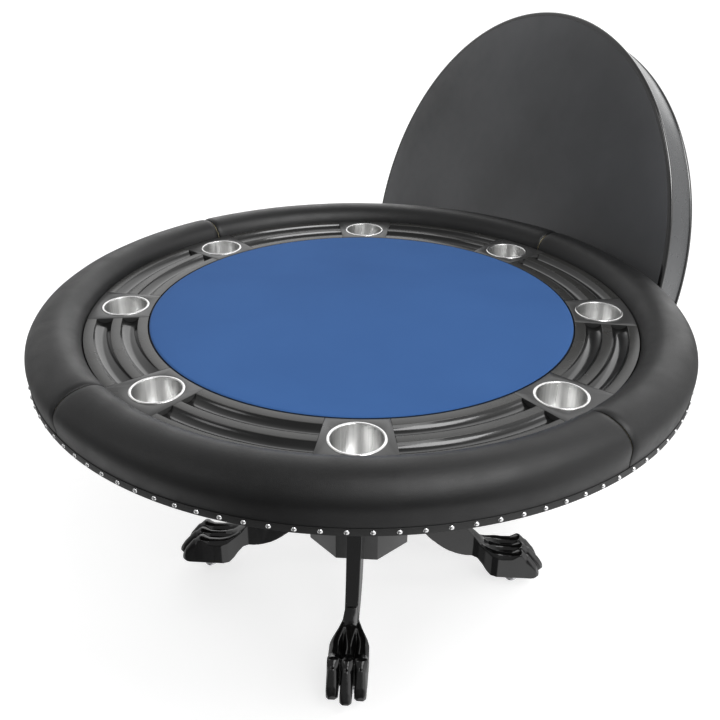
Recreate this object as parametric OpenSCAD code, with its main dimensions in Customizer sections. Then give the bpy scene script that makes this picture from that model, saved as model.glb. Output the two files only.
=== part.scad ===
// Round eight-seat poker table on an octagonal pedestal with four claw feet.
// A loose dining top stands on its rim behind the table.
// Origin: on the table's axis, at the floor. +Z up, the front of the table faces -Y.

/* [Table] */
// Widest diameter of the padded rail
table_d = 1408; // [1170:2:1700]
// Height of the racetrack above the floor
deck_h = 749; // [720:1:1050]
// Turn of the pedestal under the top, in degrees
pedestal_turn = -3.5; // [-10:0.5:10]

/* [Rail] */
// Width of the padded rail, inner edge to widest point
rail_w = 113; // [94:1:136]
// Height of the rail's crown above the racetrack
rail_rise = 35; // [20:1:50]
// Distance from the rail's inner edge to its crown
crown_in = 45; // [35:1:55]
// Depth of the rail's widest point below the racetrack
rail_drop = 13; // [8:1:18]
// How far the rail's lower edge tucks in below its widest point
rail_tuck = 4; // [2:0.5:6]
// Joint between the rail and the racetrack
rail_gap = 0.5; // [0.2:0.1:2]
// Thickness of the vinyl cover
vinyl_t = 1.6; // [1:0.1:2.5]
// Where the first seam of the cover lies, in degrees
seam_turn = -50; // [-90:1:0]
// Height of the nail band
band_h = 14; // [12:1:20]
// Thickness of the nail band
band_t = 1.6; // [1:0.1:3]
// Number of decorative nails
nail_count = 110; // [60:2:130]
// Diameter of a nail head
nail_d = 9.6; // [7:0.1:12]
// Length of a nail's shank
nail_l = 14; // [8:1:20]

/* [Racetrack] */
// Thickness of the racetrack panels
deck_t = 19; // [16:0.5:25]
// Width of a chip groove at the top
slot_w = 35; // [30:0.5:44]
// How much wider the groove's round is than its top
slot_round = 5; // [2:0.5:12]
// Width of the land between the rail and the outer groove
land_outer = 20; // [12:0.5:30]
// Width of the land between the two grooves
land_middle = 19; // [12:0.5:30]
// Width of the land between the inner groove and the cloth
land_inner = 21; // [12:0.5:30]
// Width of a cup panel
cup_panel_w = 129; // [118:1:155]
// Turn of the seats about the table's axis, in degrees
seat_turn = -0.65; // [-5:0.05:5]
// Joint between neighbouring panels
panel_gap = 0.5; // [0.2:0.1:2]

/* [Cup holders] */
// Outer diameter of the cup wall
cup_d = 94; // [75:0.5:115]
// Width of the flange round the cup
cup_flange_w = 4.7; // [3:0.1:8]
// Depth of the cup below the racetrack
cup_depth = 70; // [50:1:85]
// Thickness of the cup's sheet
cup_t = 1.2; // [0.8:0.1:2]
// Clearance round the cup in its hole
cup_gap = 0.6; // [0.3:0.1:1.5]
// How far the cups sit inside the middle of the racetrack
cup_inset = 3.5; // [0:0.5:6]

/* [Playing surface] */
// Thickness of the cloth
cloth_t = 2; // [1:0.1:3]
// Thickness of the foam under the cloth
foam_t = 8; // [4:0.5:12]
// Height of the cloth above the racetrack
cloth_rise = 2; // [0:0.5:5]
// Radius of the cloth's rounded edge
cloth_edge_r = 7; // [3:0.5:9]
// Gap round the playing surface
cloth_gap = 1.5; // [0.5:0.1:4]

/* [Frame] */
// Thickness of the base board
base_t = 18; // [15:0.5:25]
// Thickness of the rail base ring and the mounting plate
ring_t = 21; // [18:0.5:30]
// How far the rail base reaches in under the base board
ring_lap = 15.5; // [10:0.5:18]
// Height of the plywood riser in the rail
core_h = 26; // [15:1:32]
// Thickness of the padding on either side of the riser
core_side = 12.5; // [6:0.5:25]

/* [Pedestal] */
// Width of the column across its flats
column_af = 242; // [200:2:300]
// Wall of the column
column_wall = 20; // [15:1:30]
// Height of the column's lower end above the floor
column_z = 140; // [110:1:170]
// Width of the mounting plate across its flats
plate_af = 460; // [380:5:600]
// Height of the block inside the column's top
block_h = 40; // [25:1:60]
// Thickness of the cap inside the column's lower end
cap_t = 15; // [10:1:25]

/* [Legs] */
// Thickness of a leg
leg_t = 36; // [30:1:45]
// Height of the top of the leg on the column
leg_top = 393; // [340:1:480]
// Height of the leg's lower edge on the column
leg_low = 200; // [180:1:230]
// Width of the claw foot
foot_w = 89; // [74:1:107]
// Height of the foot's knuckles above the floor
foot_top = 110; // [100:1:125]
// Clear height under the foot
foot_clear = 36; // [28:1:42]
// Distance of the middle toe's tip from the axis
toe_r = 468; // [450:1:485]
// How much shorter the two side toes are
toe_step = 13; // [5:1:20]
// Gap between two toes
toe_gap = 3; // [2:0.5:6]
// Distance of the levelling feet from the axis
glide_r = 392; // [370:1:400]
// Diameter of a levelling foot's base
glide_d = 30; // [24:1:40]
// Diameter of the threaded stems and hanger bolts
bolt_d = 10; // [8:1:12]
// Running clearance round a stem or bolt
thread_gap = 0.08; // [0.02:0.01:0.1]
// Outer diameter of the threaded insert in a foot
insert_d = 16; // [14:0.5:20]
// Length of the threaded insert
insert_l = 30; // [20:1:35]

/* [Dining top] */
// How far inside the rail's crown the dining top's rim lies
lid_seat = 12; // [0:1:25]
// How far the dining top's edge stands out past its rim
lid_over = 37; // [10:1:60]
// Depth of the dining top
lid_h = 120; // [80:1:140]
// Diameter of the two glossy beads
bead_d = 11; // [8:0.5:16]
// Thickness of the apron
apron_t = 14; // [10:1:20]
// Lean of the dining top away from upright, in degrees
lid_lean = 15.3; // [8:0.1:22]
// Direction that the dining top faces away from, in degrees from +Y
lid_turn = 62.4; // [40:0.1:90]
// How far the dining top stands to one side of the table
lid_shift = 480; // [300:5:600]
// Gap between the nails and the dining top
lid_gap = 4; // [2:0.5:40]
// Number of battens under the dining top
batten_count = 3; // [2:1:4]

/* [Hidden] */
SEATS = 8;
LEGS = 4;
SEAMS = 4;
seat_step = 360 / SEATS;
leg_step = 360 / LEGS;
seam_step = 360 / SEAMS;
eps = 0.01;
over = 1;
round_fn = 144;
small_fn = 48;

// Rail section
rail_r = table_d / 2;
rail_in = rail_r - rail_w;
crown_r = rail_in + crown_in;
rail_low_r = rail_r - rail_tuck;
base_z = deck_h - deck_t - base_t;
ring_z = base_z - ring_t;
rail_mid_z = deck_h - rail_drop;
rail_b = deck_h + rail_rise - rail_mid_z;
curve_n = 14;
core_in = rail_in + core_side;
core_out = rail_low_r - core_side;
// Rail cover below its widest point: how far it stands out and how high each bend lies
tuck_bend = 0.8;
tuck_bend_drop = 12;
tuck_bend_rise = 4;

// Racetrack radii
deck_r = rail_in - rail_gap;
chip_d = slot_w + slot_round;
slot_outer_r = deck_r - land_outer - slot_w / 2;
slot_inner_r = slot_outer_r - slot_w - land_middle;
deck_in = slot_inner_r - slot_w / 2 - land_inner;
slot_lift = sqrt(chip_d * chip_d - slot_w * slot_w) / 2;
deck_z = deck_h - deck_t;

// Cups and their panels
cup_ring_r = (deck_r + deck_in) / 2 - cup_inset;
cup_hole_r = cup_d / 2 + cup_gap;
cup_corner_r = 8;
cup_corner_cut = 0.3;
cup_flange_r = cup_d / 2 + cup_flange_w;
flange_t = 1.6;
flange_edge = [0.8, 0.6];
panel_half = asin(cup_panel_w / 2 / cup_ring_r);
joint_half = asin(panel_gap / 2 / cup_ring_r);
base_in = max(deck_r - ring_lap, cup_ring_r + cup_hole_r + cup_gap);

// Playing surface
cloth_r = deck_in - cloth_gap;
pad_r = cloth_r - cloth_t;
cloth_top = deck_h + cloth_rise;
board_t = cloth_top - cloth_t - foam_t - deck_z;

// Nails
band_r = rail_low_r + band_t;
nail_z = ring_z + band_h / 2;
nail_h = nail_d * 0.34;
nail_flat_r = nail_d * 0.28;
shank_r = nail_d * 0.13;
nail_step = 360 / nail_count;
nail_top_r = band_r + nail_h;

// Column
column_r = column_af / 2;
column_h = ring_z - column_z;
half_side = 180 / 8;
octagon = 1 / cos(half_side);
column_bore = column_af - 2 * column_wall;
cap_recess = 3;
plate_screw_n = 8;
plate_screw_step = 360 / plate_screw_n;
plate_screw_r = 4;
plate_screw_edge = 40;
plate_screw_pcd = plate_af - 2 * plate_screw_edge;
block_screw_edge = 30;
block_screw_pcd = column_bore - 2 * block_screw_edge;
screw_head_r = 8;
screw_head_h = 4;
screw_bite = 10;
screw_l = ring_t + screw_bite;
rail_screw_r = 2.5;
rail_screw_head_r = 5;
rail_screw_n = 16;
rail_screw_step = 360 / rail_screw_n;
rail_screw_pcd = deck_r + base_in;

// Legs
foot_z = foot_clear;
ankle_back = 102;
flare_back = 44;
heel_back = 58;
flare_start = glide_r - ankle_back;
flare_end = glide_r - flare_back;
flare_l = 16;
flare_low = [46, 12];
flare_top = [-10, 4];
// Points and handles of the leg's and the toes' outlines, as (out, up) steps from their ends
instep_back = 3;
toe_sink = 1;
arch_back = 7;
arch_h = 41;
shoulder_pull = [79, -70];
instep_pull = [flare_start - flare_end - 25, 0];
arch_pull = [[-68, -1], [25, -5]];
heel_pull = [-22, 20];
heel_rise = 1;
armpit_pull = [44, -62];
toe_root_back = 12;
toe_dip = 3;
tendon_l = 70;
sole_back = 40;
knuckle_bend = [[-60, 0], [-36, 1], [-32, -26]];
claw_back = [-9, 30];
claw_bend = [[-5, 25], [0, 20], [0, 12], [-6, 8]];
toe_w = (foot_w - 2 * toe_gap) / 3;
toe_pitch = toe_w + toe_gap;
heel_r = glide_r - heel_back;
bolt_r = bolt_d / 2;
bolt_edge = [48, 65];
bolt_z = [leg_low + bolt_edge[0], leg_top - bolt_edge[1]];
bolt_in_leg = 45;
bolt_tail = 22;
nut_af = 1.7 * bolt_d;
nut_h = 0.8 * bolt_d;
washer_r = 1.1 * bolt_d;
washer_t = 2;
glide_h = 10;
glide_ease = 1.5;
glide_cone = 4;
hex_h = 6;
stem_spare = 14;
stem_top = foot_z + insert_l + stem_spare;
stem_room = 4;
stem_bore_r = bolt_r + 0.5;

// Dining top
lid_foot_r = crown_r - lid_seat;
lid_r = lid_foot_r + lid_over;
bead_r = bead_d / 2;
lid_panel_r = lid_r - bead_d;
apron_inset = 3;
lid_rear_low = lid_foot_r * cos(lid_lean) + (lid_h - bead_r) * sin(lid_lean);
lid_front_low = (lid_r - bead_r) * cos(lid_lean) + bead_r * sin(lid_lean);
lid_z = max(lid_rear_low, lid_front_low) + bead_r;
lid_away = nail_top_r + lid_gap + (lid_z - nail_z) * tan(lid_lean);
lid_x = lid_away * sin(lid_turn) - lid_shift * cos(lid_turn);
lid_y = lid_away * cos(lid_turn) + lid_shift * sin(lid_turn);
batten_w = 60;
batten_t = 30;
batten_gap = 23;
batten_reach = lid_foot_r - apron_t / 2 - batten_w / 2 - batten_gap;
batten_pitch = 2 * lid_foot_r / (batten_count + 1);

// Angles of seat, tray, leg and seam number i, counted from the front of the table
function seat_angle(i) = -90 + seat_step * (i - 1) + seat_turn;
function tray_angle(i) = seat_angle(i) + seat_step / 2;
function leg_angle(i) = -90 + leg_step * (i - 1) + pedestal_turn;

// Cubic curve through p[0] and p[3] with handles p[1] and p[2]
function bend(p, n = 10) = [
  for (i = [0:n])
    let (t = i / n, s = 1 - t)
    s * s * s * p[0] + 3 * s * s * t * p[1] + 3 * s * t * t * p[2] + t * t * t * p[3]
];
function reversed(list) = [for (i = [len(list) - 1:-1:0]) list[i]];

// Outline of the rail from its inner foot over the crown to its outer foot, set in by d
function rail_outline(d, foot_in, foot_out) = concat(
  [[rail_in + d, foot_in]],
  [for (i = [0:curve_n])
    let (a = 180 - 90 * i / curve_n)
    [crown_r + (crown_in - d) * cos(a), rail_mid_z + (rail_b - d) * sin(a)]],
  [for (i = [1:curve_n])
    let (a = 90 - 90 * i / curve_n)
    [crown_r + (rail_w - crown_in - d) * cos(a), rail_mid_z + (rail_b - d) * sin(a)]],
  [[rail_r - tuck_bend - d, rail_mid_z - tuck_bend_drop]],
  [[rail_low_r + tuck_bend - d, ring_z + band_h + tuck_bend_rise]],
  [[rail_low_r - d, ring_z + band_h], [rail_low_r - d, foot_out]]
);

module ring(r_in, r_out, h, z) {
  translate([0, 0, z])
    rotate_extrude($fn = round_fn)
      translate([r_in, 0])
        square([r_out - r_in, h]);
}

module sector(r_in, r_out, h, z, middle, half) {
  translate([0, 0, z])
    rotate([0, 0, middle - half])
      rotate_extrude(angle = 2 * half, $fn = round_fn)
        translate([r_in, 0])
          square([r_out - r_in, h]);
}

module at_polar(r, a, z) {
  rotate([0, 0, a])
    translate([r, 0, z])
      children();
}

module octagon_block(af, h, z, turn) {
  translate([0, 0, z])
    rotate([0, 0, half_side + turn])
      cylinder(r = af / 2 * octagon, h = h, $fn = 8);
}

// Countersunk screw, head down at z = 0, pointing up
module screw(r, head_r, length) {
  cylinder(r1 = head_r, r2 = r, h = screw_head_h, $fn = small_fn);
  cylinder(r = r, h = length, $fn = small_fn);
}

// ---- rail ----

module rail_base() {
  color("burlywood")
    difference() {
      ring(base_in, rail_low_r - vinyl_t, ring_t, ring_z);
      for (i = [1:rail_screw_n])
        at_polar(rail_screw_pcd / 2, rail_screw_step * (i + 0.5), ring_z)
          screw(rail_screw_r, rail_screw_head_r, screw_l);
    }
}

module rail_core() {
  color("burlywood")
    ring(core_in, core_out, core_h, base_z);
}

module rail_foam() {
  color("lightyellow")
    rotate_extrude($fn = round_fn)
      polygon(concat(
        rail_outline(vinyl_t, base_z, base_z),
        [[core_out, base_z], [core_out, base_z + core_h]],
        [[core_in, base_z + core_h], [core_in, base_z]]
      ));
}

module rail_cover(i) {
  color([0.12, 0.12, 0.12])
    rotate([0, 0, seam_turn + seam_step * (i - 1)])
      rotate_extrude(angle = seam_step, $fn = round_fn)
        polygon(concat(rail_outline(0, base_z, ring_z), reversed(rail_outline(vinyl_t, base_z, ring_z))));
}

module nail_band() {
  color([0.08, 0.08, 0.08])
    ring(rail_low_r, band_r, band_h, ring_z);
}

// Domed head on a round shank that is driven through the band into the rail base
module nail() {
  rotate([0, 90, 0]) {
    cylinder(r1 = nail_d / 2, r2 = nail_flat_r, h = nail_h, $fn = 24);
    translate([0, 0, -nail_l])
      cylinder(r = shank_r, h = nail_l, $fn = 24);
  }
}

module nail_heads() {
  color("gainsboro")
    for (i = [1:nail_count])
      at_polar(band_r, nail_step * i, nail_z)
        nail();
}

module rail_screws() {
  color("silver")
    for (i = [1:rail_screw_n])
      at_polar(rail_screw_pcd / 2, rail_screw_step * (i + 0.5), ring_z)
        screw(rail_screw_r, rail_screw_head_r, screw_l);
}

// ---- top ----

module base_board() {
  color("burlywood")
    difference() {
      translate([0, 0, base_z])
        cylinder(r = deck_r, h = base_t, $fn = round_fn);
      for (i = [1:SEATS])
        at_polar(cup_ring_r, seat_angle(i), base_z - over)
          cylinder(r = cup_hole_r, h = base_t + 2 * over, $fn = small_fn);
      for (i = [1:plate_screw_n])
        at_polar(plate_screw_pcd / 2, plate_screw_step * (i + 0.5) + pedestal_turn, ring_z)
          screw(plate_screw_r, screw_head_r, screw_l);
      for (i = [1:rail_screw_n])
        at_polar(rail_screw_pcd / 2, rail_screw_step * (i + 0.5), ring_z)
          screw(rail_screw_r, rail_screw_head_r, screw_l);
    }
}

module cup_panel(i) {
  color([0.33, 0.33, 0.33])
    difference() {
      sector(deck_in, deck_r, deck_t, deck_z, seat_angle(i), panel_half - joint_half);
      at_polar(cup_ring_r, seat_angle(i), deck_z - over)
        cylinder(r = cup_hole_r, h = deck_t + 2 * over, $fn = small_fn);
    }
}

module chip_groove(r, middle, half) {
  rotate([0, 0, middle - half])
    rotate_extrude(angle = 2 * half, $fn = round_fn)
      translate([r, deck_h + slot_lift])
        circle(d = chip_d, $fn = small_fn);
}

module chip_tray(i) {
  half = seat_step / 2 - panel_half - joint_half;
  color([0.4, 0.4, 0.38])
    difference() {
      sector(deck_in, deck_r, deck_t, deck_z, tray_angle(i), half);
      chip_groove(slot_outer_r, tray_angle(i), half + over);
      chip_groove(slot_inner_r, tray_angle(i), half + over);
    }
}

module cup_holder(i) {
  top = deck_h + flange_t;
  bottom = deck_h - cup_depth;
  r = cup_d / 2;
  inner = r - cup_t;
  inner_r = cup_corner_r - cup_t;
  color("silver")
    at_polar(cup_ring_r, seat_angle(i), 0)
      rotate_extrude($fn = small_fn)
        polygon([
          [0, bottom],
          [r - cup_corner_r, bottom],
          [r - cup_corner_r * cup_corner_cut, bottom + cup_corner_r * cup_corner_cut],
          [r, bottom + cup_corner_r],
          [r, deck_h],
          [cup_flange_r, deck_h],
          [cup_flange_r, top - flange_edge[1]],
          [cup_flange_r - flange_edge[0], top],
          [inner, top],
          [inner, bottom + cup_corner_r],
          [inner - inner_r * cup_corner_cut, bottom + cup_t + inner_r * cup_corner_cut],
          [r - cup_corner_r, bottom + cup_t],
          [0, bottom + cup_t]
        ]);
}

module playing_board() {
  color("tan")
    translate([0, 0, deck_z])
      cylinder(r = pad_r, h = board_t, $fn = round_fn);
}

// Quarter circle of the cloth's edge, from the side to the top
function edge_curve(r, outer, top) = [
  for (a = [0:15:90]) [outer - r + r * cos(a), top - r + r * sin(a)]
];

module playing_foam() {
  color("lightyellow")
    rotate_extrude($fn = round_fn)
      polygon(concat(
        [[0, deck_z + board_t], [pad_r, deck_z + board_t]],
        edge_curve(cloth_edge_r - cloth_t, pad_r, cloth_top - cloth_t),
        [[0, cloth_top - cloth_t]]
      ));
}

module playing_cloth() {
  color([0.26, 0.4, 0.63])
    rotate_extrude($fn = round_fn)
      polygon(concat(
        [[pad_r, deck_z], [cloth_r, deck_z]],
        edge_curve(cloth_edge_r, cloth_r, cloth_top),
        [[0, cloth_top], [0, cloth_top - cloth_t]],
        reversed(edge_curve(cloth_edge_r - cloth_t, pad_r, cloth_top - cloth_t))
      ));
}

// ---- pedestal ----

module mounting_plate() {
  color("burlywood")
    difference() {
      octagon_block(plate_af, ring_t, ring_z, pedestal_turn);
      for (i = [1:plate_screw_n])
        at_polar(plate_screw_pcd / 2, plate_screw_step * (i + 0.5) + pedestal_turn, ring_z)
          screw(plate_screw_r, screw_head_r, screw_l);
      for (i = [1:LEGS])
        at_polar(block_screw_pcd / 2, leg_step * (i + 0.5) + pedestal_turn, base_z)
          mirror([0, 0, 1])
            screw(plate_screw_r, screw_head_r, screw_l);
    }
}

module plate_screws() {
  color("silver")
    for (i = [1:plate_screw_n])
      at_polar(plate_screw_pcd / 2, plate_screw_step * (i + 0.5) + pedestal_turn, ring_z)
        screw(plate_screw_r, screw_head_r, screw_l);
}

module block_screws() {
  color("silver")
    for (i = [1:LEGS])
      at_polar(block_screw_pcd / 2, leg_step * (i + 0.5) + pedestal_turn, base_z)
        mirror([0, 0, 1])
          screw(plate_screw_r, screw_head_r, screw_l);
}

module column() {
  color([0.2, 0.2, 0.2])
    difference() {
      octagon_block(column_af, column_h, column_z, pedestal_turn);
      octagon_block(column_bore, column_h + 2 * over, column_z - over, pedestal_turn);
      for (i = [1:LEGS], z = bolt_z)
        at_polar(column_r - column_wall - over, leg_angle(i), z)
          rotate([0, 90, 0])
            cylinder(r = bolt_r + thread_gap, h = column_wall + 2 * over, $fn = small_fn);
    }
}

module column_top_block() {
  color("burlywood")
    difference() {
      octagon_block(column_bore, block_h, ring_z - block_h, pedestal_turn);
      for (i = [1:LEGS])
        at_polar(block_screw_pcd / 2, leg_step * (i + 0.5) + pedestal_turn, base_z)
          mirror([0, 0, 1])
            screw(plate_screw_r, screw_head_r, screw_l);
    }
}

module column_bottom_cap() {
  color([0.2, 0.2, 0.2])
    octagon_block(column_bore, cap_t, column_z + cap_recess, pedestal_turn);
}

// Side outline of the leg board, from the column to the instep
function leg_outline() =
  let (
    shoulder = [column_r, leg_top],
    armpit = [column_r, leg_low],
    instep = [flare_end - instep_back, foot_top - toe_sink],
    arch = [flare_start - arch_back, foot_z + arch_h],
    heel = [heel_r, foot_z + heel_rise]
  )
  concat(
    bend([shoulder, shoulder + shoulder_pull, instep + instep_pull, instep], 14),
    [[instep[0], heel[1]]],
    reversed(bend([arch, arch + arch_pull[1], heel + heel_pull, heel], 8)),
    reversed(bend([armpit, armpit + armpit_pull, arch + arch_pull[0], arch], 12))
  );

// Side outline of one toe whose tip is at radius tip
function toe_outline(tip) =
  let (root = flare_end - toe_root_back, knuckle = [tip, foot_top], claw = [tip, foot_z])
  concat(
    [[root, foot_z], [root, foot_top - toe_dip], [tip - tendon_l, foot_top - toe_dip]],
    bend(concat([for (p = knuckle_bend) knuckle + p], [claw + claw_back]), 8),
    bend([for (p = claw_bend) claw + p], 5),
    [[tip - sole_back, foot_z]]
  );

module extruded_side(points, width) {
  rotate([90, 0, 0])
    translate([0, 0, -width / 2])
      linear_extrude(height = width)
        polygon(points);
}

module leg(i) {
  color([0.1, 0.1, 0.1])
    rotate([0, 0, leg_angle(i)])
      difference() {
        union() {
          extruded_side(leg_outline(), leg_t);
          extruded_side(toe_outline(toe_r), toe_w);
          for (side = [-1, 1])
            translate([0, side * toe_pitch, 0])
              extruded_side(toe_outline(toe_r - toe_step), toe_w);
          hull() {
            translate([flare_start, -leg_t / 2, foot_z + flare_low[0]])
              cube([eps, leg_t, foot_top - foot_z - flare_low[0] - flare_top[0]]);
            translate([flare_end, -foot_w / 2, foot_z + flare_low[1]])
              cube([flare_l, foot_w, foot_top - foot_z - flare_low[1] - flare_top[1]]);
          }
        }
        translate([glide_r, 0, foot_z - over])
          cylinder(d = insert_d, h = insert_l + over, $fn = small_fn);
        translate([glide_r, 0, foot_z])
          cylinder(r = stem_bore_r, h = stem_top - foot_z + stem_room, $fn = small_fn);
        for (z = bolt_z)
          translate([column_r - over, 0, z])
            rotate([0, 90, 0])
              cylinder(r = bolt_r + thread_gap, h = bolt_in_leg + over, $fn = small_fn);
      }
}

module leg_bolts() {
  color("silver")
    for (i = [1:LEGS], z = bolt_z)
      at_polar(column_r - column_wall - bolt_tail, leg_angle(i), z)
        rotate([0, 90, 0])
          cylinder(r = bolt_r, h = bolt_tail + column_wall + bolt_in_leg, $fn = small_fn);
}

module leg_nuts() {
  color("silver")
    for (i = [1:LEGS], z = bolt_z)
      at_polar(column_r - column_wall, leg_angle(i), z)
        rotate([0, -90, 0])
          difference() {
            union() {
              cylinder(r = washer_r, h = washer_t, $fn = small_fn);
              cylinder(d = nut_af / cos(30), h = washer_t + nut_h, $fn = 6);
            }
            translate([0, 0, -over])
              cylinder(r = bolt_r + thread_gap, h = washer_t + nut_h + 2 * over, $fn = small_fn);
          }
}

module leveller_inserts() {
  color("goldenrod")
    for (i = [1:LEGS])
      at_polar(glide_r, leg_angle(i), foot_z)
        difference() {
          cylinder(d = insert_d, h = insert_l, $fn = small_fn);
          translate([0, 0, -over])
            cylinder(r = bolt_r + thread_gap, h = insert_l + 2 * over, $fn = small_fn);
        }
}

module leveller(i) {
  color("dimgray")
    at_polar(glide_r, leg_angle(i), 0) {
      rotate_extrude($fn = small_fn)
        polygon([
          [0, 0],
          [glide_d / 2 - glide_ease, 0],
          [glide_d / 2, glide_ease],
          [glide_d / 2, glide_h / 2],
          [glide_d / 2 - glide_cone, glide_h],
          [bolt_r, glide_h],
          [bolt_r, stem_top],
          [0, stem_top]
        ]);
      translate([0, 0, glide_h])
        cylinder(d = nut_af / cos(30), h = hex_h, $fn = 6);
    }
}

// ---- dining top ----

// Puts a shape made face up, with its face at z = 0, where the dining top stands
module stood_up() {
  translate([lid_x, lid_y, lid_z])
    rotate([90 - lid_lean, 0, -lid_turn])
      children();
}

module dining_panel() {
  color([0.26, 0.26, 0.26])
    stood_up()
      translate([0, 0, -bead_d])
        cylinder(r = lid_panel_r, h = bead_d, $fn = round_fn);
}

module dining_apron() {
  top_r = lid_r - apron_inset;
  color([0.45, 0.46, 0.47])
    stood_up()
      rotate_extrude($fn = round_fn)
        polygon([
          [top_r - apron_t - bead_d, -bead_d],
          [lid_foot_r - apron_t / 2, bead_d - lid_h],
          [lid_foot_r + apron_t / 2 - apron_inset, bead_d - lid_h],
          [top_r, -bead_d]
        ]);
}

// Half-round bead with a flat back
module bead(r) {
  rotate_extrude($fn = round_fn)
    union() {
      translate([r, bead_r])
        circle(r = bead_r, $fn = 24);
      translate([r - bead_r, 0])
        square([bead_r, bead_d]);
    }
}

module dining_front_bead() {
  color([0.05, 0.05, 0.05])
    stood_up()
      translate([0, 0, -bead_d])
        bead(lid_r - bead_r);
}

module dining_rear_bead() {
  color([0.05, 0.05, 0.05])
    stood_up()
      translate([0, 0, -lid_h])
        bead(lid_foot_r);
}

module dining_battens() {
  color("burlywood")
    stood_up()
      for (k = [1:batten_count])
        let (x = -lid_foot_r + batten_pitch * k, half = sqrt(batten_reach * batten_reach - x * x))
        translate([x - batten_w / 2, -half, -bead_d - batten_t])
          cube([batten_w, 2 * half, batten_t]);
}

base_board();
rail_base();
rail_core();
rail_foam();
nail_band();
nail_heads();
rail_screws();
for (i = [1:SEAMS])
  rail_cover(i);
for (i = [1:SEATS])
  cup_panel(i);
for (i = [1:SEATS])
  chip_tray(i);
for (i = [1:SEATS])
  cup_holder(i);
playing_board();
playing_foam();
playing_cloth();
mounting_plate();
plate_screws();
block_screws();
column();
column_top_block();
column_bottom_cap();
for (i = [1:LEGS])
  leg(i);
leg_bolts();
leg_nuts();
leveller_inserts();
for (i = [1:LEGS])
  leveller(i);
dining_panel();
dining_apron();
dining_front_bead();
dining_rear_bead();
dining_battens();
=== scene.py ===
"""Eight-seat poker table on a claw-foot pedestal, with its loose dining top standing behind it."""

import math

import bmesh
import bpy
from mathutils import Matrix, Vector, noise


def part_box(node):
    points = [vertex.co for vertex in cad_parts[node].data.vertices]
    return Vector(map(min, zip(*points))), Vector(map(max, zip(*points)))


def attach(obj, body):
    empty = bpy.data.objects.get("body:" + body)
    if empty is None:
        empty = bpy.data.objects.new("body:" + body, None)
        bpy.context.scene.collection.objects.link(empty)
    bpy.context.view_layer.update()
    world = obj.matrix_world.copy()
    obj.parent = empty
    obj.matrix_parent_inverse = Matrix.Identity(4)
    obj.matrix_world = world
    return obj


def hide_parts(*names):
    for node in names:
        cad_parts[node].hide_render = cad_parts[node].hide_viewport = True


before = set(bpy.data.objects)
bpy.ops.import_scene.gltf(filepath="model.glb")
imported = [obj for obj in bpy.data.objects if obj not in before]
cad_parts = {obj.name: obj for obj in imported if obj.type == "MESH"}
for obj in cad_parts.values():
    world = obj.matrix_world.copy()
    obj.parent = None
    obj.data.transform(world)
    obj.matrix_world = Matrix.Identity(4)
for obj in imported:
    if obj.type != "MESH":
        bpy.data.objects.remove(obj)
scene = bpy.context.scene
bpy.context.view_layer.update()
MM = 0.001
TURN = 2 * math.pi

# ---------------------------------------------------------------- sizes, from the frame's own boxes

deck_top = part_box("cup_panel_1")[1].z
deck_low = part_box("cup_panel_1")[0].z
crown_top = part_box("rail_cover_1")[1].z
rail_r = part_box("rail_cover_1")[1].x
rail_w = 113 * MM
crown_in = 45 * MM
rail_tuck = 4 * MM
rail_drop = 13 * MM
rail_in = rail_r - rail_w
crown_r = rail_in + crown_in
rail_low_r = rail_r - rail_tuck
rail_mid = deck_top - rail_drop
band_low, band_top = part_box("nail_band")[0].z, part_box("nail_band")[1].z
band_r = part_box("nail_band")[1].x
foam_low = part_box("rail_foam")[0].z
seam_start = math.radians(-50)
quarter = math.pi / 2

rail_gap = 0.5 * MM
deck_w = 130 * MM
groove_w = 35 * MM
land_out, land_mid = 20 * MM, 19 * MM
chip_r = 20 * MM
cup_inset = 3.5 * MM
panel_w, joint_w = 129 * MM, 0.5 * MM
deck_r = rail_in - rail_gap
deck_in = deck_r - deck_w
groove_outer_r = deck_r - land_out - groove_w / 2
groove_r = (groove_outer_r, groove_outer_r - groove_w - land_mid)
cup_ring_r = (deck_r + deck_in) / 2 - cup_inset
panel_half = math.asin(panel_w / 2 / cup_ring_r)
joint_half = math.asin(joint_w / 2 / cup_ring_r)

cloth_low, cloth_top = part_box("playing_cloth")[0].z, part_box("playing_cloth")[1].z
cloth_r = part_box("playing_cloth")[1].x

column_low, column_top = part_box("column")[0].z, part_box("column")[1].z
pedestal_turn = math.radians(-3.5)
leg_turns = [math.radians(-90 + 90 * k) + pedestal_turn for k in range(4)]
glide_r = 392 * MM

lid_seat, lid_over = 12 * MM, 37 * MM
lid_foot_r = crown_r - lid_seat
lid_r = lid_foot_r + lid_over
lid_h = 120 * MM
bead = 11 * MM
lid_turn, lid_lean = math.radians(62.4), math.radians(15.3)
lid_place = (
    Matrix.Translation((391.565 * MM, 746.341 * MM, 639.219 * MM))
    @ Matrix.Rotation(-lid_turn, 4, "Z")
    @ Matrix.Rotation(math.pi / 2 - lid_lean, 4, "X")
)


def seat_turn(k):
    """Turn of seat k about the table's axis, in radians; seat 1 is at the front."""
    return math.radians(-90.65 + 45 * (k - 1))


# ---------------------------------------------------------------- materials


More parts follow.
